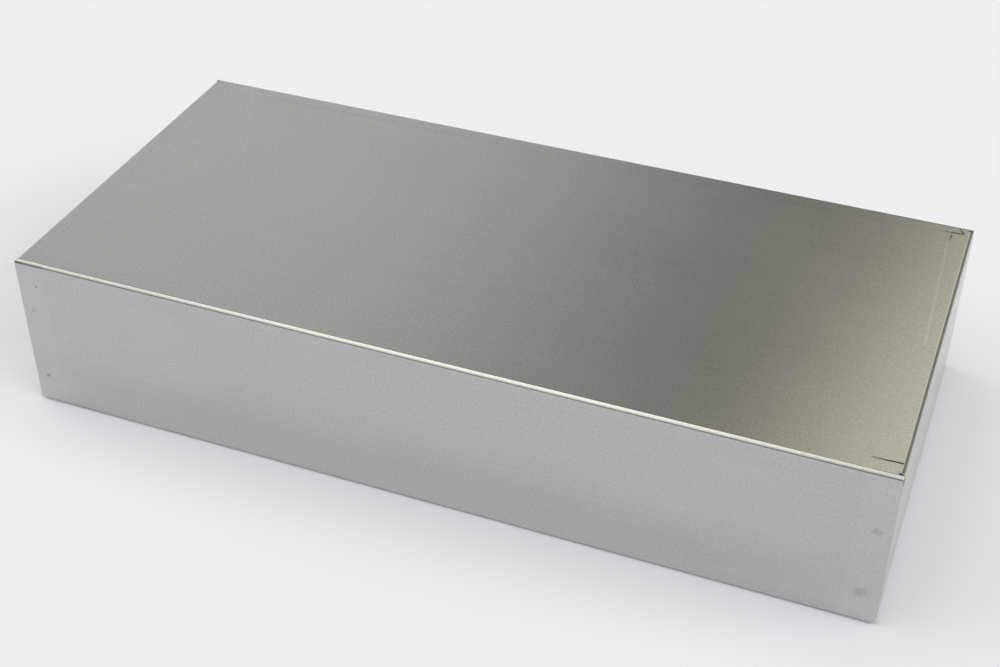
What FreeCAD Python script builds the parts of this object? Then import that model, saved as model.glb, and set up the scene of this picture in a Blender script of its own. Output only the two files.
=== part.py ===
"""Open-bottomed instrument chassis folded from one blank of plain aluminium sheet.

The front wall and the back wall run the full length of the case.  The two end
walls are folded down between them, and each end wall carries an upright tab at
both sides.  A tab turns the corner, lies flat behind the long wall and is held
to it by two spot welds.  Every wall ends in a lip turned inwards along the open
side, mitred where it meets its neighbour, which stiffens the rim and gives a
bottom cover something to screw to.

Frame: origin in the middle of the open side, X along the length, Y towards the
back wall, Z up to the closed top plate.  All sizes are in millimetres.
"""
import FreeCAD
import Part
import os

from FreeCAD import Vector

# ---------------------------------------------------------------- driving sizes
LENGTH = 381.0            # outside, end wall to end wall
WIDTH = 177.8             # outside, front wall to back wall
HEIGHT = 76.2             # rim to the outside of the top plate
SHEET = 1.0               # thickness of the blank
BEND_RADIUS = 1.0         # inside radius of every fold
LIP = 12.7                # width of the lip round the open side, wall thickness included

TAB_WIDTH = 14.0          # reach of a corner tab along the long wall, from the end wall's face
TAB_CLEARANCE = 0.6       # between a tab's ends and the folds above and below it
FAYING_GAP = 0.1          # air between a tab and the long wall that it lies behind
END_SETBACK = 0.3         # raw end of a long wall, and each mitre, short of the end wall's face

RELIEF_DEPTH = 0.5        # how far a corner slit runs into the flat top, past the end fold

NUGGET_DIAMETER = 4.0     # weld metal that joins a tab to its long wall
DIMPLE_DIAMETER = 5.6     # dent that the electrode tips leave on both skins
DIMPLE_DEPTH = 0.12
WELD_INSET = 6.4          # weld centre to the end wall's face
UPPER_WELD_DROP = 25.8    # upper weld centre below the top plate's face
LOWER_WELD_RISE = 16.0    # lower weld centre above the rim

# ------------------------------------------------------------ sizes that follow
OUTER_RADIUS = BEND_RADIUS + SHEET
END_X = LENGTH / 2
WALL_Y = WIDTH / 2
TAB_FACE_Y = WALL_Y - SHEET - FAYING_GAP       # skin of a tab that faces its long wall
END_WALL_Y = TAB_FACE_Y - OUTER_RADIUS         # half width of an end wall, up to the tab fold
LONG_WALL_X = END_X - END_SETBACK              # half length of a long wall
TAB_BOTTOM = OUTER_RADIUS + TAB_CLEARANCE
TAB_TOP = HEIGHT - OUTER_RADIUS - TAB_CLEARANCE
WELD_X = END_X - WELD_INSET
WELD_HEIGHTS = (LOWER_WELD_RISE, HEIGHT - UPPER_WELD_DROP)
CORNERS = ((-1, -1), (1, -1), (1, 1), (-1, 1))  # signs of X and Y, once round the case


def unit(start, end):
    """Direction from one point to another, as a vector of length one."""
    return (end - start).normalize()


def rounded_line(points, radius):
    """Edges of a bent line: straight runs, with a quarter arc at every inner point."""
    edges = []
    start = points[0]
    for corner, following in zip(points[1:-1], points[2:]):
        back = unit(corner, start)
        ahead = unit(corner, following)
        centre = corner + (back + ahead) * radius
        middle = centre + unit(centre, corner) * radius
        before = corner + back * radius
        after = corner + ahead * radius
        edges.append(Part.LineSegment(start, before).toShape())
        edges.append(Part.Arc(before, middle, after).toShape())
        start = after
    edges.append(Part.LineSegment(start, points[-1]).toShape())
    return edges


def folded_section(skin):
    """Cross-section of the sheet, folded square at every inner point of `skin`.

    `skin` lists the sharp corners of the outside skin, in one plane, and all its
    folds turn the same way.  The inside skin runs SHEET away from it, and both
    are rounded about the same centres, so the sheet keeps its thickness.
    """
    runs = [unit(a, b) for a, b in zip(skin, skin[1:])]
    inward = runs[1:] + [runs[-2] * -1]        # each run's normal, into the case
    inside = [skin[0] + inward[0] * SHEET]
    for corner, before, after in zip(skin[1:-1], inward, inward[1:]):
        inside.append(corner + (before + after) * SHEET)
    inside.append(skin[-1] + inward[-1] * SHEET)
    edges = rounded_line(skin, OUTER_RADIUS) + rounded_line(inside, BEND_RADIUS)
    for outer_end, inner_end in ((skin[0], inside[0]), (skin[-1], inside[-1])):
        edges.append(Part.LineSegment(outer_end, inner_end).toShape())
    return Part.Face(Part.Wire(Part.__sortEdges__(edges)))


def centred_box(half_x, half_y, bottom, top):
    """Block centred on the Z axis, between two heights."""
    corner = Vector(-half_x, -half_y, bottom)
    return Part.makeBox(2 * half_x, 2 * half_y, top - bottom, corner)


def mitred_rim(half_length, half_depth, turn):
    """Rim-high prisms over the two mitred strips where one pair of lips may lie.

    The strips run along X, `half_depth` either side of the middle, and are then
    turned about Z.  Their slanting ends follow the corners' diagonals, each set
    back by END_SETBACK, which leaves the slot between neighbouring lips.
    """
    root = half_length - END_SETBACK
    tip = root - LIP
    strips = []
    for side in (-1, 1):
        face = side * half_depth
        edge = side * (half_depth - LIP)
        plan = [Vector(-root, face), Vector(root, face), Vector(tip, edge), Vector(-tip, edge)]
        outline = Part.Face(Part.makePolygon(plan + plan[:1]))
        strips.append(outline.extrude(Vector(0, 0, OUTER_RADIUS)))
    pair = strips[0].fuse(strips[1])
    pair.rotate(Vector(0, 0, 0), Vector(0, 0, 1), turn)
    return pair


def trim_lips(walls, allowed):
    """Keep of the rim, up to the top of its folds, only what lies in `allowed`."""
    rim = centred_box(LENGTH, WIDTH, 0, OUTER_RADIUS)
    return walls.cut(rim.cut(allowed))


def long_walls():
    """Top plate, front wall, back wall and their two lips, as one folded section.

    The flat of the top stops where the end folds begin, so that past this line
    only the front and the back fold run on to the raw ends of their walls.
    """
    skin = [Vector(-LONG_WALL_X, y, z) for y, z in (
        (-WALL_Y + LIP, 0), (-WALL_Y, 0), (-WALL_Y, HEIGHT),
        (WALL_Y, HEIGHT), (WALL_Y, 0), (WALL_Y - LIP, 0))]
    section = folded_section(skin)
    walls = section.extrude(Vector(2 * LONG_WALL_X, 0, 0))
    plate = centred_box(END_X, WALL_Y - OUTER_RADIUS, HEIGHT - SHEET, HEIGHT)
    kept = centred_box(END_X - OUTER_RADIUS - RELIEF_DEPTH, WALL_Y, HEIGHT - SHEET, HEIGHT)
    return trim_lips(walls.cut(plate.cut(kept)), mitred_rim(END_X, WALL_Y, 0))


def end_walls():
    """Top plate, both end walls and their lips, as one folded section.

    It is as wide as an end wall, which leaves a slit between each end fold and
    the long wall's fold beside it.
    """
    skin = [Vector(x, -END_WALL_Y, z) for x, z in (
        (-END_X + LIP, 0), (-END_X, 0), (-END_X, HEIGHT),
        (END_X, HEIGHT), (END_X, 0), (END_X - LIP, 0))]
    section = folded_section(skin)
    walls = section.extrude(Vector(0, 2 * END_WALL_Y, 0))
    return trim_lips(walls, mitred_rim(WALL_Y, END_X, 90))


def corner_tab(side_x, side_y):
    """Upright tab that turns the corner from an end wall to lie behind a long wall."""
    root = END_WALL_Y - SHEET                   # the section starts inside the end wall
    skin = [Vector(side_x * x, side_y * y, TAB_BOTTOM) for x, y in (
        (END_X, root), (END_X, TAB_FACE_Y), (END_X - TAB_WIDTH, TAB_FACE_Y))]
    return folded_section(skin).extrude(Vector(0, 0, TAB_TOP - TAB_BOTTOM))


def weld_nugget(side_x, side_y, height):
    """Disc of weld metal from the middle of the long wall to the middle of the tab."""
    start = Vector(side_x * WELD_X, side_y * (WALL_Y - SHEET / 2), height)
    depth = SHEET + FAYING_GAP
    return Part.makeCylinder(NUGGET_DIAMETER / 2, depth, start, Vector(0, -side_y, 0))


def weld_dimples(side_x, side_y, height):
    """The two shallow dents of one weld, each cut by a short plug with a rounded tip.

    The tip is the part of a ball that dips DIMPLE_DEPTH below the skin.
    """
    rim_radius = DIMPLE_DIAMETER / 2
    ball_radius = (rim_radius ** 2 + DIMPLE_DEPTH ** 2) / (2 * DIMPLE_DEPTH)
    outwards = Vector(0, side_y, 0)
    plugs = []
    for y, away in ((WALL_Y, outwards), (TAB_FACE_Y - SHEET, outwards * -1)):
        on_skin = Vector(side_x * WELD_X, side_y * y, height)
        ball = Part.makeSphere(ball_radius, on_skin + away * (ball_radius - DIMPLE_DEPTH))
        barrel = Part.makeCylinder(DIMPLE_DIAMETER, SHEET, on_skin - away * SHEET / 2, away)
        plugs.append(ball.common(barrel))
    return plugs


def chassis():
    """The folded and welded chassis as one solid."""
    body = long_walls().fuse(end_walls())
    body = body.fuse([corner_tab(*signs) for signs in CORNERS])
    welds = [(*signs, height) for signs in CORNERS for height in WELD_HEIGHTS]
    body = body.fuse([weld_nugget(*weld) for weld in welds]).removeSplitter()
    return body.cut([plug for weld in welds for plug in weld_dimples(*weld)])


def main():
    os.makedirs("parts", exist_ok=True)
    shape = chassis()
    box = shape.optimalBoundingBox(True, False)
    print("chassis: %d solid, valid %s" % (len(shape.Solids), shape.isValid()))
    print("box %.2f x %.2f x %.2f mm" % (box.XLength, box.YLength, box.ZLength))
    print("volume %.0f mm3, %d faces" % (shape.Volume, len(shape.Faces)))
    shape.exportStep("parts/chassis.step")


main()
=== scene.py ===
# %% [markdown]
# # A folded aluminium chassis
# The object is an open-bottomed instrument chassis.  It was one flat blank of
# aluminium sheet, and a press brake folded it into a box.  This lesson keeps to
# that order: it draws the blank, folds it with a formula, gives it a thickness,
# and then spends most of its nodes on what bare rolled metal looks like.
#
# First the fixed frame comes in.  It is the measured part, and every position
# below is taken from it.

# %% Load the frame
import math

import bpy
import numpy as np
from mathutils import Matrix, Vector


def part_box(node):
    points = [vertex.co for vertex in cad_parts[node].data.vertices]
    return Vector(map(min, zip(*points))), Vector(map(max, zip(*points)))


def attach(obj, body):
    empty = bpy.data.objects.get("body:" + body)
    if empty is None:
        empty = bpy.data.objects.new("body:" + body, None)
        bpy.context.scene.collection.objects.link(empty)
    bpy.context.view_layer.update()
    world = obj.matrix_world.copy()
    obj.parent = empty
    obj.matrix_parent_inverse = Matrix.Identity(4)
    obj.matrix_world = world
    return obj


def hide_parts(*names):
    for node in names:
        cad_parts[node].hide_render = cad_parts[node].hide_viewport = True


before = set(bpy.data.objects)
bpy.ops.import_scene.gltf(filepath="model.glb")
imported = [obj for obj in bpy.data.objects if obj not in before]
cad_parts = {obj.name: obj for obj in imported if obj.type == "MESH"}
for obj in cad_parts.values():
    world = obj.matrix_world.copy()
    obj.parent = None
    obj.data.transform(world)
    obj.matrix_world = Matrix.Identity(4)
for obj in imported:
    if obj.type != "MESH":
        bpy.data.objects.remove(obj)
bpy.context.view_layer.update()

LOW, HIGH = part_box("chassis")
print("chassis runs from %s to %s metres" % (tuple(round(v, 4) for v in LOW),
                                             tuple(round(v, 4) for v in HIGH)))

# %% [markdown]
# ## The sizes that a sheet-metal worker would ask for
# The outside size comes from the frame.  The rest is the sheet's own: how thick
# it is, how tightly it was folded, how far the lips and the corner tabs reach,
# and where the spot welds sit.  Everything is in metres.

# %% Sizes
MM = 0.001
END_X, WALL_Y, HEIGHT = HIGH.x, HIGH.y, HIGH.z
SHEET = 1.0 * MM            # thickness
FOLD = 2.0 * MM             # outside radius of every fold
LIP = 12.7 * MM             # return lip round the open side
TAB = 14.0 * MM             # reach of a corner tab behind the long wall
SETBACK = 0.3 * MM          # raw wall ends and mitres, short of the end face
TAB_SKIN_Y = WALL_Y - SHEET - 0.1 * MM
END_HALF = TAB_SKIN_Y - FOLD            # half width of an end wall
LONG_HALF = END_X - SETBACK             # half length of a long wall
FLAT_X = END_X - FOLD                   # where the end folds begin
FLAT_Y = WALL_Y - FOLD                  # where the long folds begin
SLIT_X = FLAT_X - 0.5 * MM              # the corner slits run in to here
ARC = FOLD * math.pi / 2                # sheet that one quarter turn uses up
DROP = HEIGHT - 2 * FOLD                # straight part of a wall
WELD_X = END_X - 6.4 * MM
WELD_Z = (16.0 * MM, 50.4 * MM)
print("a wall is flat for %.1f mm between its folds" % (DROP / MM))

# %% [markdown]
# ## Folding with a formula
# A press brake turns a strip of sheet down by a quarter circle, leaves it
# straight for a while, and may then turn it again.  So the place of a point
# depends only on how far along the strip it lies.  The function below walks that
# distance for a whole array of points at once: it spends it on a turn, then on a
# straight run, then on the next turn.  It also returns the direction that the
# outside skin faces, which is what gives the sheet its other skin later.

# %% The fold formula
def fold(distance, runs):
    """Follow a strip round its folds.

    Each run starts with a quarter turn of radius FOLD.  Turning by an angle p from
    heading a moves a point by FOLD * (sin(a + p) - sin a) ahead and by
    FOLD * (cos(a + p) - cos a) upwards; a straight stretch d moves it by d * cos a
    ahead and by -d * sin a upwards.  The skin faces (sin a, cos a).
    """
    left = np.asarray(distance, float).copy()
    ahead, up, heading = np.zeros_like(left), np.zeros_like(left), np.zeros_like(left)
    start = 0.0
    for run in runs:
        turn = np.clip(left / FOLD, 0, math.pi / 2)
        ahead += FOLD * (np.sin(start + turn) - math.sin(start))
        up += FOLD * (np.cos(start + turn) - math.cos(start))
        heading += turn
        left = np.maximum(left - ARC, 0)
        start += math.pi / 2
        straight = np.minimum(left, run)
        ahead += straight * math.cos(start)
        up -= straight * math.sin(start)
        left = np.maximum(left - run, 0)
    return ahead, up, np.sin(heading), np.cos(heading)


def lines(start, *stretches):
    """Grid lines from `start` on: each stretch is (end, spacing), and is cut evenly."""
    cuts = []
    for end, gap in stretches:
        cuts.append(np.linspace(start, end, 1 + max(1, round((end - start) / gap))))
        start = end
    return np.unique(np.round(np.concatenate(cuts), 8))


def both_sides(half):
    """Grid lines from the middle outwards, mirrored to the other side."""
    return np.unique(np.concatenate([-half, half]))


WALL_RUNS = (DROP, LIP - FOLD)
print("fold() ends a lip at", [round(float(v) / MM, 2) for v in
                               fold(np.array(2 * ARC + DROP + LIP - FOLD), WALL_RUNS)[:2]])

# %% [markdown]
# ## Where the grid lines go
# A smooth surface needs many lines where it turns and few where it is flat.  So
# each fold gets a line every few degrees, the electrode dents of the spot welds
# get a line every half millimetre, and the broad panels get one every few
# millimetres.  A line just inside every edge and beside every fold keeps the
# shading of a flat panel truly flat.

# %% Grid lines
NEAR = 0.15 * MM            # first line beside an edge or a fold
FINE = 0.5 * MM
COARSE = 6.0 * MM
BEND = ARC / 12
TAB_GAP = 0.6 * MM          # between a tab's ends and the folds above and below it
ENDS_FROM = 0.176           # from here outwards the long panels are drawn fine
EDGES_FROM = 0.0845         # the same, across the case
AROUND_WELD = 3.5 * MM
LIP_START = 2 * ARC + DROP  # distances past the start of the top fold
LIP_END = LIP_START + LIP - FOLD
TAB_END = ARC + TAB - FOLD


def down_to(z):
    """Distance from the start of the top fold down to height z on a wall."""
    return ARC + HEIGHT - FOLD - z


LONG_U = both_sides(lines(0, (ENDS_FROM, COARSE), (SLIT_X, FINE),
                          (LONG_HALF - 2 * NEAR, FINE), (LONG_HALF, 2 * NEAR)))
TOP_U = both_sides(lines(0, (ENDS_FROM, COARSE), (SLIT_X, FINE),
                         (FLAT_X - NEAR, 0.35 * MM), (FLAT_X, NEAR)))
TOP_V = both_sides(lines(0, (EDGES_FROM, COARSE), (END_HALF - 2 * NEAR, 1.0 * MM),
                         (END_HALF, 2 * NEAR), (FLAT_Y - NEAR, FINE), (FLAT_Y, NEAR)))
END_V = TOP_V[np.abs(TOP_V) <= END_HALF + 1e-9]

weld_rows = []
for height in reversed(WELD_Z):
    weld_rows += [(down_to(height + AROUND_WELD), COARSE / 2),
                  (down_to(height - AROUND_WELD), FINE)]
TAB_ROWS = (down_to(HEIGHT - FOLD - TAB_GAP), down_to(FOLD + TAB_GAP))
DOWN = lines(0, (ARC, BEND), (ARC + NEAR, NEAR), (TAB_ROWS[0], 0.45 * MM), *weld_rows,
             (TAB_ROWS[1], COARSE / 2), (ARC + DROP - NEAR, 0.45 * MM), (ARC + DROP, NEAR),
             (LIP_START, BEND), (LIP_START + NEAR, NEAR), (LIP_START + 0.8 * MM, 0.65 * MM),
             (LIP_END - 2 * NEAR, COARSE / 2), (LIP_END, 2 * NEAR))
TAB_T = lines(0, (ARC, BEND), (ARC + NEAR, NEAR), (TAB_END - 2 * NEAR, FINE), (TAB_END, 2 * NEAR))
print("%d lines along the case, %d across it, %d down a wall"
      % (len(LONG_U), len(TOP_V), len(DOWN)))

# %% [markdown]
# ## The five panels and the four tabs
# Each panel is a function of two numbers.  The top plate is the flat of the
# blank.  A wall panel takes a place along its fold and a distance past it, and
# hands the distance to the fold formula.  Towards the open side its ends are
# mitred, so the last stretch of every row is squeezed to meet the mitre.  A tab
# starts at the upright edge of an end wall and turns the corner behind the long
# wall.

# %% Panels
LONG_KEPT = 0.170           # rows of a long panel are left alone up to here
END_KEPT = 0.068            # the same for an end panel


def squeeze(along, half, limit, keep):
    """Pull the ends of a row in from `half` to `limit`, leaving the middle `keep` alone.

    Past `keep`, a place is keep + (place - keep) * (limit - keep) / (half - keep).
    """
    size = np.abs(along)
    pulled = keep + (size - keep) * (limit - keep) / (half - keep)
    return np.sign(along) * np.where(size > keep, pulled, size)


def top_plate():
    """Flat plate at full height: point (u, v) of the blank stays at (u, v, HEIGHT)."""
    u, v = np.meshgrid(TOP_U, TOP_V, indexing="ij")
    place = np.stack([u, v, np.full_like(u, HEIGHT)], -1)
    faces = np.broadcast_to([0.0, 0.0, 1.0], place.shape)
    return place, faces, np.stack([u, v], -1)


def long_panel(side):
    """Front or back wall with its lip: (u, distance) goes round the folds across Y."""
    u, s = np.meshgrid(LONG_U, DOWN, indexing="ij")
    ahead, up, out, rise = fold(s, WALL_RUNS)
    inward = np.where(s > ARC + DROP, FOLD - ahead, 0)
    u = squeeze(u, LONG_HALF, LONG_HALF - inward, LONG_KEPT)
    place = np.stack([u, side * (FLAT_Y + ahead), HEIGHT + up], -1)
    faces = np.stack([np.zeros_like(u), side * out, rise], -1)
    return place, faces, np.stack([u, side * (FLAT_Y + s)], -1)


def end_panel(side):
    """End wall with its lip: (v, distance) goes round the folds across X."""
    v, s = np.meshgrid(END_V, DOWN, indexing="ij")
    ahead, up, out, rise = fold(s, WALL_RUNS)
    inward = np.where(s > ARC + DROP, FOLD - ahead, 0)
    v = squeeze(v, END_HALF, np.minimum(END_HALF, WALL_Y - SETBACK - inward), END_KEPT)
    place = np.stack([side * (FLAT_X + ahead), v, HEIGHT + up], -1)
    faces = np.stack([side * out, np.zeros_like(v), rise], -1)
    return place, faces, np.stack([side * (FLAT_X + s), v], -1)


def tab_panel(side_x, side_y):
    """Tab: (distance, height) turns from the end wall to run back behind the long wall."""
    kept = (DOWN >= TAB_ROWS[0] - 1e-9) & (DOWN <= TAB_ROWS[1] + 1e-9)
    t, s = np.meshgrid(TAB_T, DOWN[kept], indexing="ij")
    ahead, back, out, rise = fold(t, (TAB - FOLD,))
    z = HEIGHT + fold(s, WALL_RUNS)[1]
    place = np.stack([side_x * (END_X + back), side_y * (END_HALF + ahead), z], -1)
    faces = np.stack([side_x * rise, side_y * out, np.zeros_like(t)], -1)
    return place, faces, np.stack([side_x * (FLAT_X + s), side_y * (END_HALF + t)], -1)


PANELS = [top_plate(), long_panel(-1), long_panel(1), end_panel(-1), end_panel(1)]
PANELS += [tab_panel(x, y) for x in (-1, 1) for y in (-1, 1)]
print("%d panels drawn" % len(PANELS))

# %% [markdown]
# ## One skin out of nine grids
# The panels meet exactly along their fold lines, so points in the same place
# become one point.  Four tiny cells of the top plate are left out: they are the
# slits that a sheet-metal worker cuts at a corner, so that two folds can cross
# without tearing.

# %% Join the panels
def cells(shape):
    """Corner numbers of every cell of a grid with that many rows and columns."""
    number = np.arange(shape[0] * shape[1]).reshape(shape)
    corners = (number[:-1, :-1], number[1:, :-1], number[1:, 1:], number[:-1, 1:])
    return np.stack([c.ravel() for c in corners], -1)


def joined(panels):
    """Stack the grids, then give points that lie within a tenth of a micron one number."""
    starts = np.cumsum([0] + [p[0][..., 0].size for p in panels[:-1]])
    quads = np.concatenate([cells(p[0].shape[:2]) + s for p, s in zip(panels, starts)])
    place, faces, flat = (np.concatenate([p[k].reshape(-1, p[k].shape[-1]) for p in panels])
                          for k in range(3))
    _, first, number = np.unique(np.round(place, 7), axis=0, return_index=True, return_inverse=True)
    return place[first], faces[first], flat[first], number.reshape(-1)[quads]


def outwards(place, faces, quads):
    """Turn round each cell whose corners run the wrong way for the side it faces."""
    a, b, c, d = (place[quads[:, k]] for k in range(4))
    facing = np.einsum("ij,ij->i", np.cross(c - a, d - b), faces[quads].mean(axis=1))
    return np.where(facing[:, None] < 0, quads[:, ::-1], quads)


skin, skin_faces, blank, quads = joined(PANELS)
middle = skin[quads].mean(axis=1)
slit = ((middle[:, 2] > HEIGHT - 1e-6) & (np.abs(middle[:, 0]) > SLIT_X)
        & (np.abs(middle[:, 0]) < FLAT_X) & (np.abs(middle[:, 1]) > END_HALF)
        & (np.abs(middle[:, 1]) < FLAT_Y))
quads = outwards(skin, skin_faces, quads[~slit])
used, quads = np.unique(quads, return_inverse=True)
skin, skin_faces, blank, quads = skin[used], skin_faces[used], blank[used], quads.reshape(-1, 4)
print("outer skin: %d points, %d cells, %d cells left open as slits"
      % (len(skin), len(quads), slit.sum()))

# %% [markdown]
# ## Thickness, raw edges and weld dents
# The inside skin lies one sheet thickness behind the outside one, along the
# direction that each point faces.  An edge of the skin that belongs to only one
# cell is where the shear cut the blank, so a strip of raw edge goes there.  The
# electrodes of the spot welder press a shallow round dent into the two skins that
# they touch: the outside of the long wall and the inside of the tab.

# %% Thickness and welds
DENT_RADIUS = 2.8 * MM
DENT_DEPTH = 0.12 * MM


def dent(place, y):
    """Depth of the weld dents at points on the plane y: a ball's cap, DENT_DEPTH deep.

    For a weld r away it is DENT_DEPTH * (1 - (r / DENT_RADIUS) squared), never below 0.
    """
    deepest = np.zeros(len(place))
    for z in WELD_Z:
        r2 = (np.abs(place[:, 0]) - WELD_X) ** 2 + (place[:, 2] - z) ** 2
        deepest = np.maximum(deepest, DENT_DEPTH * (1 - r2 / DENT_RADIUS ** 2))
    return np.where(np.abs(np.abs(place[:, 1]) - y) < 1e-6, deepest, 0)


inner = skin - SHEET * skin_faces
outer = skin - skin_faces * dent(skin, WALL_Y)[:, None]
inner = inner + skin_faces * dent(inner, TAB_SKIN_Y - SHEET)[:, None]

pairs = np.stack([quads, np.roll(quads, -1, axis=1)], -1).reshape(-1, 2)
_, which, count = np.unique(np.sort(pairs, axis=1), axis=0, return_inverse=True, return_counts=True)
cut_edges = pairs[count[which.reshape(-1)] == 1]
edge_quads = np.stack([cut_edges[:, 1], cut_edges[:, 0],
                       cut_edges[:, 0] + len(skin), cut_edges[:, 1] + len(skin)], -1)
print("%d pieces of raw edge" % len(edge_quads))

# %% The chassis as one mesh
points = np.concatenate([outer, inner])
# Rounding an edge moves its corners by a few microns, so the ends are drawn in by more.
points[:, 0] *= 1 - 0.01 * MM / END_X
all_quads = np.concatenate([quads, quads[:, ::-1] + len(skin), edge_quads])
finish_of = np.repeat([0, 1, 2], [len(quads), len(quads), len(edge_quads)])
OUTSIDE_MIDDLE, INSIDE_MIDDLE = (0.3, 0.2), (0.3, 0.6)     # the two skins' places on the UV map
sheet_uv = np.concatenate([blank + OUTSIDE_MIDDLE, blank + INSIDE_MIDDLE])

mesh = bpy.data.meshes.new("folded_chassis")
mesh.from_pydata(points, [], all_quads)
mesh.uv_layers.new(name="blank").data.foreach_set("uv", sheet_uv[all_quads.ravel()].ravel())
mesh.polygons.foreach_set("material_index", finish_of)
mesh.polygons.foreach_set("use_smooth", np.ones(len(all_quads), bool))
mesh.update()
chassis = bpy.data.objects.new("folded_chassis", mesh)
bpy.context.scene.collection.objects.link(chassis)

# The shear leaves a very small round on its edges.
edge_round = chassis.modifiers.new("edge_round", "BEVEL")
edge_round.width = 0.12 * MM
edge_round.segments = 2
edge_round.limit_method = "ANGLE"
edge_round.angle_limit = math.radians(50)
edge_round.use_clamp_overlap = False
edge_round.harden_normals = True
print("chassis: %d points, %d faces before its edges are rounded" % (len(points), len(all_quads)))

# %% [markdown]
# ## Shader maths in plain Python
# A node tree is a sum written with boxes and wires.  It reads better as a sum, so
# a small class wraps a socket and gives it plus, minus, times and the rest.  Every
# other node comes from one method: type, settings, then what goes into it.

# %% Sockets and nodes
class Wire:
    """An output socket that does arithmetic by adding Math nodes."""

    def __init__(self, bench, socket):
        self.bench, self.socket = bench, socket

    def __add__(self, other):
        return self.bench.maths("ADD", self, other)

    def __sub__(self, other):
        return self.bench.maths("SUBTRACT", self, other)

    def __rsub__(self, other):
        return self.bench.maths("SUBTRACT", other, self)

    def __mul__(self, other):
        return self.bench.maths("MULTIPLY", self, other)

    def __truediv__(self, other):
        return self.bench.maths("DIVIDE", self, other)

    def __pow__(self, other):
        return self.bench.maths("POWER", self, other)

    __radd__ = __add__
    __rmul__ = __mul__


class Bench:
    """A node tree, and the one way that nodes get into it."""

    def __init__(self, owner):
        owner.use_nodes = True
        self.tree = owner.node_tree
        self.tree.nodes.clear()

    def node(self, kind, settings=None, inputs=None, out=0):
        """Add a node: its settings first, then its sockets by name or number."""
        made = self.tree.nodes.new(kind)
        for name, value in (settings or {}).items():
            if name == "stops":
                ramp = made.color_ramp.elements
                while len(ramp) < len(value):
                    ramp.new(1.0)
                for stop, (place, colour) in zip(ramp, value):
                    stop.position, stop.color = place, (*colour, 1.0)
            elif name == "interpolation":
                made.color_ramp.interpolation = value
            else:
                setattr(made, name, value)
        for name, value in (inputs or {}).items():
            if isinstance(value, Wire):
                self.tree.links.new(value.socket, made.inputs[name])
            else:
                made.inputs[name].default_value = value
        return Wire(self, made.outputs[out]) if len(made.outputs) else made

    def maths(self, operation, *values):
        return self.node("ShaderNodeMath", {"operation": operation}, dict(enumerate(values)))

    def larger(self, first, second):
        return self.maths("MAXIMUM", first, second)

    def steps(self, value, start, end):
        """0 before start, 1 after end, and an easy slope between them."""
        return self.node("ShaderNodeMapRange", {"interpolation_type": "SMOOTHSTEP"},
                         {"Value": value, "From Min": start, "From Max": end,
                          "To Min": 0.0, "To Max": 1.0})

    def band(self, value, centre, half, soft):
        """1 within `half` of the centre, fading to 0 over `soft`."""
        return 1 - self.steps(self.maths("ABSOLUTE", value - centre), half, half + soft)

    def mix(self, factor, first, second, blend="MIX"):
        """Blend two colours; the factor may be a wire or a number."""
        return self.node("ShaderNodeMix", {"data_type": "RGBA", "blend_type": blend},
                         {0: factor, 6: first, 7: second}, out=2)

    def noise(self, vector, scale, detail=2.0, rough=0.5, stretch=(1, 1, 1)):
        """Noise from 0 to 1; `stretch` shortens the pattern along an axis."""
        at = self.node("ShaderNodeVectorMath", {"operation": "MULTIPLY"}, {0: vector, 1: stretch})
        return self.node("ShaderNodeTexNoise", {}, {"Vector": at, "Scale": scale,
                                                    "Detail": detail, "Roughness": rough})

    def split(self, vector):
        """The three parts of a vector, as three wires."""
        parts = self.node("ShaderNodeSeparateXYZ", {}, {0: vector})
        return [Wire(self, parts.socket.node.outputs[k]) for k in range(3)]

    def stroke(self, across, along, start, end, width):
        """A drawn line from start to end, as 1 on the line and 0 off it.

        The foot of a point on the line is its share of the way along, kept between 0
        and 1; the mask falls off with the distance from the point to that foot.
        """
        dx, dy = end[0] - start[0], end[1] - start[1]
        share = ((across - start[0]) * dx + (along - start[1]) * dy) / (dx * dx + dy * dy)
        share = self.node("ShaderNodeClamp", {}, {"Value": share})
        off_x = across - start[0] - share * dx
        off_y = along - start[1] - share * dy
        far = self.maths("SQRT", off_x * off_x + off_y * off_y)
        return 1 - self.steps(far, width * 0.25, width * 0.75)


print("bench ready")

# %% [markdown]
# ## Mill-finish aluminium
# Rolled sheet is a dull mirror.  The rolls draw the surface out into short fine
# lines along the blank's length, so the grain is a noise stretched in blank
# coordinates: it then runs along the long walls, and down the end walls, as it
# does on the real case.  On top of the grain lie a soft mottle, and the prints of
# the press brake's die beside each fold.

# %% Grain that both skins share
def aluminium(name):
    """Start a mill-finish material: its bench, its places and the grain both skins share."""
    material = bpy.data.materials.new(name)
    bench = Bench(material)
    sheet = bench.node("ShaderNodeUVMap", {"uv_map": "blank"})
    place = bench.node("ShaderNodeTexCoord", out="Object")
    speckle = bench.noise(sheet, 1300.0, 3.0, 0.6, (0.6, 1.0, 1.0))
    streaks = bench.noise(sheet, 420.0, 3.0, 0.6, (0.03, 1.0, 1.0))
    mottle = bench.noise(sheet, 22.0, 3.0, 0.55, (0.6, 1.0, 1.0))
    tone = 1 + (speckle - 0.5) * 0.50 + (streaks - 0.5) * 0.08 + (mottle - 0.5) * 0.08
    return material, bench, sheet, place, (speckle, streaks, mottle), tone


def finished(bench, colour, roughness, grain):
    """Close a mill-finish material: metal of that colour over the relief of its grain."""
    speckle, streaks, mottle = grain
    relief = bench.node("ShaderNodeBump", {}, {"Strength": 0.15, "Distance": 0.05 * MM,
                                               "Height": speckle * 0.5 + streaks * 0.5})
    finish = bench.node("ShaderNodeBsdfPrincipled", {}, {
        "Base Color": colour, "Metallic": 1.0, "Normal": relief,
        "Roughness": roughness + (mottle - 0.5) * 0.04})
    bench.node("ShaderNodeOutputMaterial", {}, {"Surface": finish})


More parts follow.
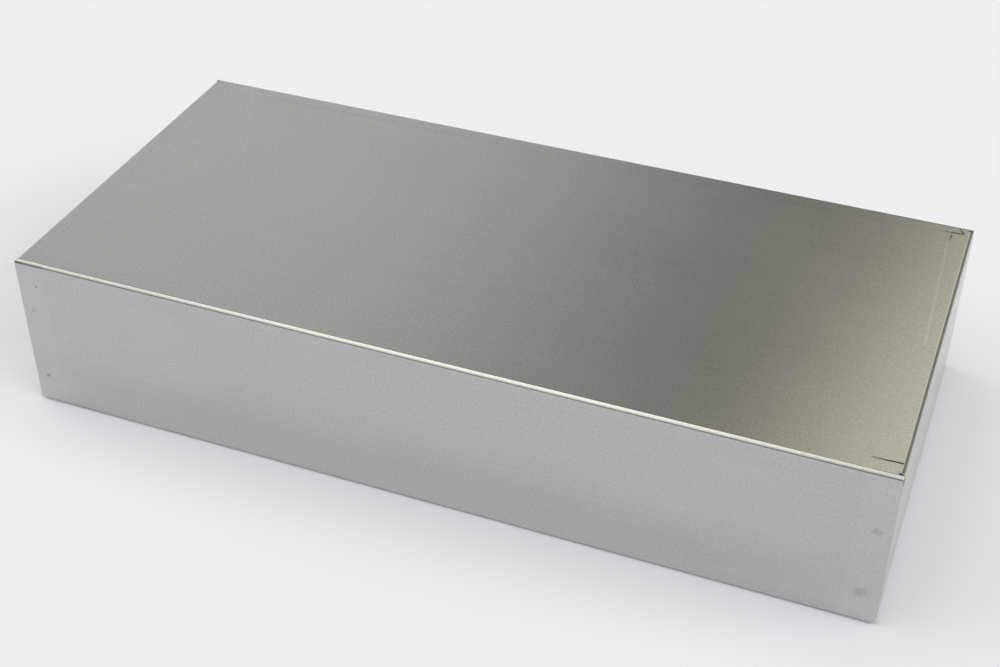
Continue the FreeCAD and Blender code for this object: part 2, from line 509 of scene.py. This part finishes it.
def tinted(bench, tone, red, green, blue):
    """A colour whose parts are that tone times three numbers."""
    parts = {0: tone * red, 1: tone * green, 2: tone * blue}
    return bench.node("ShaderNodeCombineColor", {}, parts)


GREY = 0.56                 # how much light bare rolled aluminium sends back here

# %% Aluminium, outside
material, bench, sheet, place, grain, tone = aluminium("mill_outside")
x, y, z = bench.split(place)
on_top = bench.steps(z, HEIGHT - 0.5 * MM, HEIGHT - 0.1 * MM)
on_front = 1 - bench.steps(y, -WALL_Y + 0.2 * MM, -WALL_Y + 0.6 * MM)
print("grain laid on the outside skin")

# %% [markdown]
# ## Prints of the press brake
# The shoulders of the brake's die leave a line beside each fold.  Seen in a dull
# mirror, such a line is a little lighter or darker than the sheet next to it,
# and it is never quite even, so each one is broken up by the grain.  Behind the
# ends of the front wall lies the tab of the end wall, and the wall's skin changes
# tone where the tab begins.

# %% Die lines and tab print
speckle, streaks, mottle = grain
die_left = bench.band(x, -0.1830, 0.2 * MM, 0.8 * MM) * on_top
die_right = bench.stroke(x, y, (0.1807, 0.0730), (0.1838, -0.0050), 1.1 * MM) * on_top
die_back = (bench.band(y, 0.0806, 0.6 * MM, 1.4 * MM) * on_top
            * bench.steps(mottle, 0.35, 0.6))
die_front = (bench.band(z, 0.0682, 0.3 * MM, 0.7 * MM) * on_front
             * bench.steps(streaks, 0.45, 0.6))
end_line = bench.stroke(x, z, (0.1796, 0.0690), (0.1902, 0.0687), 1.0 * MM) * on_front
tab_print = bench.steps(bench.maths("ABSOLUTE", x), 0.1762, 0.1772) * on_front
tone = tone * (1 - die_left * 0.02 + die_right * 0.10 - die_back * 0.045
               - die_front * 0.04 + end_line * 0.08 + tab_print * 0.03)

# Over the left tab the front fold is drawn in and mirrors the dark; that dark reflection is painted
# into the colour here.
_, blank_v, _ = bench.split(sheet)
round_fold = bench.maths("ABSOLUTE", blank_v - OUTSIDE_MIDDLE[1])
painted_dark_reflection = bench.band(round_fold, FLAT_Y + 0.66 * ARC, 0.12 * ARC, 0.30 * MM)
over_tab = 1 - bench.steps(x, -0.1772, -0.1750)
at_end = 1 - bench.steps(x, -0.1900, -0.1850)
tone = tone * (1 - painted_dark_reflection * over_tab * (0.35 + 0.30 * at_end))

# Painted shade and light: the front wall is painted a little duller than the top, and painted
# brighter low down, for the light that falls on it.
painted_low_light = 1 - bench.steps(z, 0.002, 0.022)
tone = tone * (1 - on_front * (0.115 - painted_low_light * 0.10))
print("die lines, tab print and fold drawn into the tone")

# %% [markdown]
# ## Marks of the workshop
# The maker marked two corners with short pen strokes.  Pen ink is nearly black and
# dull, thin where the pen lands and thick where it stops.  Spot welding leaves a
# brownish bloom round each weld, and storage leaves pits, specks and a long
# shallow scratch.  All of them are painted into the colour by their distance from
# a point or a line.

# %% Pen strokes
# Each stroke is its start, its end and how black it is.
STROKES = [((0.1763, 0.0821), (0.1864, 0.0826), 0.95),
           ((0.1842, 0.0863), (0.1863, 0.0830), 0.85),
           ((0.1812, 0.0756), (0.1815, 0.0802), 0.70),
           ((0.1770, -0.0807), (0.1884, -0.0804), 0.95)]
ink = 0.0
for start, end, weight in STROKES:
    gone = bench.maths("SQRT", (x - start[0]) ** 2.0 + (y - start[1]) ** 2.0)
    travelled = gone / math.dist(start, end)
    pressed = bench.steps(travelled, -0.5, 0.8) * weight
    ink = bench.larger(bench.stroke(x, y, start, end, 0.75 * MM) * pressed, ink)
ink = ink * on_top

# %% Weld bloom
def spot(across, along, centre, wide, high):
    """1 at the centre of an upright oval and 0 at its rim, `wide` and `high` away.

    The mask falls with the distance from the centre, measured in those two sizes.
    """
    off_x, off_y = (across - centre[0]) / wide, (along - centre[1]) / high
    return 1 - bench.steps(bench.maths("SQRT", off_x ** 2.0 + off_y ** 2.0), 0.2, 1.0)


# Each bloom is its centre on the front wall, half its width and height, and its strength.
BLOOMS = [((0.1848, 0.0483), 3.2 * MM, 2.4 * MM, 0.42),
          ((0.1829, 0.0156), 4.2 * MM, 4.0 * MM, 0.40),
          ((-0.1851, 0.0505), 1.6 * MM, 1.6 * MM, 0.36),
          ((-0.1842, 0.0148), 2.1 * MM, 1.5 * MM, 0.75)]
blotch = bench.noise(place, 1100.0, 3.0, 0.65)
patchy = bench.steps(blotch, 0.32, 0.60)
bloom = 0.0
for centre, wide, high, weight in BLOOMS:
    bloom = bench.larger(spot(x, z, centre, wide, high) * weight, bloom)
bloom = bloom * on_front * patchy
on_back = bench.steps(y, WALL_Y - 0.6 * MM, WALL_Y - 0.2 * MM)
for height in WELD_Z:
    behind = spot(bench.maths("ABSOLUTE", x), z, (WELD_X, height), 2.8 * MM, 2.6 * MM)
    bloom = bench.larger(behind * on_back * patchy * 0.32, bloom)
top_smudge = spot(x, y, (-0.1705, 0.0794), 3.4 * MM, 1.8 * MM) * on_top
bloom = bench.larger(top_smudge * bench.steps(blotch, 0.40, 0.62) * 0.16, bloom)

# %% Pits and a scratch
PITS = [(-0.1881, 0.0524), (-0.1785, 0.0537), (-0.1880, 0.0157), (-0.1680, 0.0383),
        (-0.1706, 0.0284), (-0.1650, 0.0294), (-0.1628, 0.0196)]
pit = spot(x, z, (-0.1813, 0.0643), 0.75 * MM, 0.60 * MM) * 0.75
for centre in PITS:
    pit = bench.larger(spot(x, z, centre, 0.55 * MM, 0.55 * MM) * 0.32, pit)
pit = pit * on_front

SCRATCH = [(-0.1738, 0.0277), (-0.0612, 0.0205), (0.0572, 0.0144), (0.1026, 0.0148),
           (0.1730, 0.0093)]
scratch = 0.0
for start, end in zip(SCRATCH, SCRATCH[1:]):
    scratch = bench.larger(bench.stroke(x, z, start, end, 0.7 * MM), scratch)
scratch = scratch * on_front * bench.steps(streaks, 0.40, 0.60) * 0.05
print("%d pen strokes, %d blooms, %d pits" % (len(STROKES), len(BLOOMS), len(PITS) + 1))

# %% Outside finish
colour = tinted(bench, tone * (1 - scratch), GREY, GREY, GREY)
WELD_BROWN = (0.19, 0.16, 0.13, 1.0)
PEN_BLACK = (0.03, 0.03, 0.035, 1.0)
colour = bench.mix(bloom, colour, WELD_BROWN)
colour = bench.mix(bench.larger(ink, pit), colour, PEN_BLACK)
# The folds are burnished by the brake, so they mirror more sharply than the flats.
along_fold = bench.band(round_fold, FLAT_Y + ARC / 2, ARC / 2, 0.3 * MM)
finished(bench, colour, 0.22 + ink * 0.3 + bloom * 0.2 - along_fold * 0.10, grain)
mesh.materials.append(material)
print("outside finish:", len(material.node_tree.nodes), "nodes")

# %% [markdown]
# ## The inside skin
# The inside of the sheet is the same mill finish, but no die ever touched it, so
# it has the grain and no prints.  It is a shade duller.

# %% Aluminium, inside
material, bench, sheet, place, grain, tone = aluminium("mill_inside")
finished(bench, tinted(bench, tone, GREY, GREY, GREY), 0.25, grain)
mesh.materials.append(material)

# %% [markdown]
# ## The sheared edge
# A shear cuts through part of the thickness and tears the rest, so a raw edge is
# finely torn and catches light at every angle.  A small noise gives it both a
# broken colour and a broken relief.

# %% Sheared edge
material = bpy.data.materials.new("sheared_edge")
bench = Bench(material)
place = bench.node("ShaderNodeTexCoord", out="Object")
torn = bench.noise(place, 1500.0, 3.0, 0.6)
finish = bench.node("ShaderNodeBsdfPrincipled", {}, {
    "Base Color": bench.mix(torn, (0.42, 0.42, 0.42, 1), (0.62, 0.62, 0.62, 1)),
    "Metallic": 1.0, "Roughness": 0.35 + torn * 0.2,
    "Normal": bench.node("ShaderNodeBump", {}, {"Strength": 0.3, "Distance": 0.05 * MM,
                                                "Height": torn})})
bench.node("ShaderNodeOutputMaterial", {}, {"Surface": finish})
mesh.materials.append(material)

# %% Hand the piece to the frame
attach(chassis, "root")
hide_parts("chassis")
print("finishes:", [finish.name for finish in mesh.materials])

# %% [markdown]
# ## Floor
# The case stands on a plain pale table that runs out of sight.

# %% Floor
TABLE = 6.0                 # half the table's width
floor_mesh = bpy.data.meshes.new("floor")
floor_mesh.from_pydata([(-TABLE, -TABLE, 0), (TABLE, -TABLE, 0), (TABLE, TABLE, 0),
                        (-TABLE, TABLE, 0)], [], [(0, 1, 2, 3)])
floor = bpy.data.objects.new("floor", floor_mesh)
floor.location.z = -0.05 * MM
bpy.context.scene.collection.objects.link(floor)
material = bpy.data.materials.new("pale_table")
bench = Bench(material)
finish = bench.node("ShaderNodeBsdfDiffuse", {}, {"Color": (0.807, 0.813, 0.862, 1.0)})
bench.node("ShaderNodeOutputMaterial", {}, {"Surface": finish})
floor_mesh.materials.append(material)

# %% [markdown]
# ## Light
# Bare metal shows the room, so the room decides how it looks.  The room here is a
# light tent, written as a function of direction: a bright ceiling that darkens
# towards the front horizon, a wall behind the case that fades from pale to dark
# along its length, a window at the end of that wall, bright sides, and a pale
# horizon all round.  It has no lamps, so its shadows are soft.

# %% World
world = bpy.data.worlds.new("light_tent")
bpy.context.scene.world = world
bench = Bench(world)
dx, dy, dz = bench.split(bench.node("ShaderNodeTexCoord", out="Generated"))
rise = bench.larger(dz, 0.05)
across, ahead = dx / rise, dy / rise
lean = dy / bench.maths("SQRT", dy * dy + dz * dz)


def dimmed(colour, factor):
    """A colour wire times a grey factor."""
    grey = bench.node("ShaderNodeCombineColor", {}, {0: factor, 1: factor, 2: factor})
    return bench.mix(1.0, colour, grey, "MULTIPLY")


# The wall behind the case, from left to right, and the window at its right.
wall = bench.node("ShaderNodeValToRGB", {"stops": [
    ((t + 1.5) / 2.0, (g * 0.97, g * 0.97, g * (0.885 - 0.075 * t))) for t, g in (
        (-1.30, 0.76), (-0.98, 0.76), (-0.90, 0.77), (-0.80, 0.76), (-0.70, 0.72), (-0.60, 0.64),
        (-0.52, 0.55), (-0.44, 0.43), (-0.35, 0.29), (-0.26, 0.205), (-0.16, 0.22), (0.50, 0.30))]},
    {0: (across + 1.5) / 2.0})
window = bench.steps(across - 0.22 * (ahead - 1.4), -0.15, -0.04)
window = window * (1 - bench.steps(across, 0.24, 0.40))
wall = bench.mix(window, wall, (1.19, 1.16, 0.94, 1))

# The ceiling, from the front horizon over the top and down behind.
ceiling = bench.node("ShaderNodeValToRGB", {"stops": [
    (0.00, (0.38, 0.39, 0.41)), (0.02, (0.40, 0.41, 0.43)), (0.05, (0.62, 0.62, 0.62)),
    (0.09, (1.00, 1.00, 0.97)), (0.16, (1.30, 1.29, 1.23)), (0.25, (1.55, 1.53, 1.43)),
    (0.40, (1.85, 1.81, 1.60)), (0.70, (1.85, 1.81, 1.60)), (0.76, (0.45, 0.45, 0.44)),
    (0.82, (0.30, 0.30, 0.29)), (1.00, (0.50, 0.50, 0.50))]}, {0: lean * 0.5 + 0.5})
strip = 1 - bench.steps(bench.maths("ABSOLUTE", dx + 0.29), 0.05, 0.38)
ceiling = dimmed(ceiling, 0.6 + 0.4 * strip)
glow = bench.mix(bench.steps(lean, 0.66, 0.72), ceiling, wall)

# %% Sides and horizon
# The sides are dull behind the case and bright in front of it.
sideways = bench.maths("ABSOLUTE", dx)
outside = bench.steps(sideways, 0.50, 0.80)
backwards = bench.steps(dy, 0.25, 0.60)
glow = dimmed(glow, 1 - 0.3 * bench.steps(sideways, 0.62, 0.85) * backwards)
sides = bench.mix(bench.steps(dx, -0.1, 0.1), (2.10, 2.12, 2.16, 1), (3.20, 3.22, 3.26, 1))
glow = bench.mix(outside * (1 - backwards) * bench.steps(dz, 0.20, 0.42), glow, sides)
# The horizon is lower behind the right end, where the end fold mirrors a dark corner.
dark_corner = (bench.steps(dx, 0.30, 0.45) * bench.steps(dy, 0.50, 0.70)
               * bench.steps(dz, 0.02, 0.05))
horizon = (1 - bench.steps(dz, 0.06, 0.14)) * (1 - dark_corner)
glow = bench.mix(horizon, glow, (0.80, 0.80, 0.80, 1))
background = bench.node("ShaderNodeBackground", {}, {"Color": glow, "Strength": 0.9})
bench.node("ShaderNodeOutputWorld", {}, {"Surface": background})
print("light tent:", len(world.node_tree.nodes), "nodes")

# %% [markdown]
# ## Camera
# The camera stands in front of the case, a little to its right, and looks down
# on it.  A long lens keeps the upright edges nearly parallel.

# %% Camera
AZIMUTH, ELEVATION, ROLL = (math.radians(a) for a in (21.1313, 36.8006, 0.3304))
lens = bpy.data.cameras.new("camera")
lens.sensor_width = 36.0
lens.lens = 57.85
camera = bpy.data.objects.new("camera", lens)
camera.matrix_world = (Matrix.Translation((0.210072, -0.545390, 0.464797))
                       @ Matrix.Rotation(AZIMUTH, 4, "Z")
                       @ Matrix.Rotation(math.pi / 2 - ELEVATION, 4, "X")
                       @ Matrix.Rotation(ROLL, 4, "Z"))
bpy.context.scene.collection.objects.link(camera)
bpy.context.scene.camera = camera
bpy.context.scene.view_settings.view_transform = "Standard"
print("camera: %.2f mm lens, %.1f degrees round, %.1f degrees up"
      % (lens.lens, math.degrees(AZIMUTH), math.degrees(ELEVATION)))
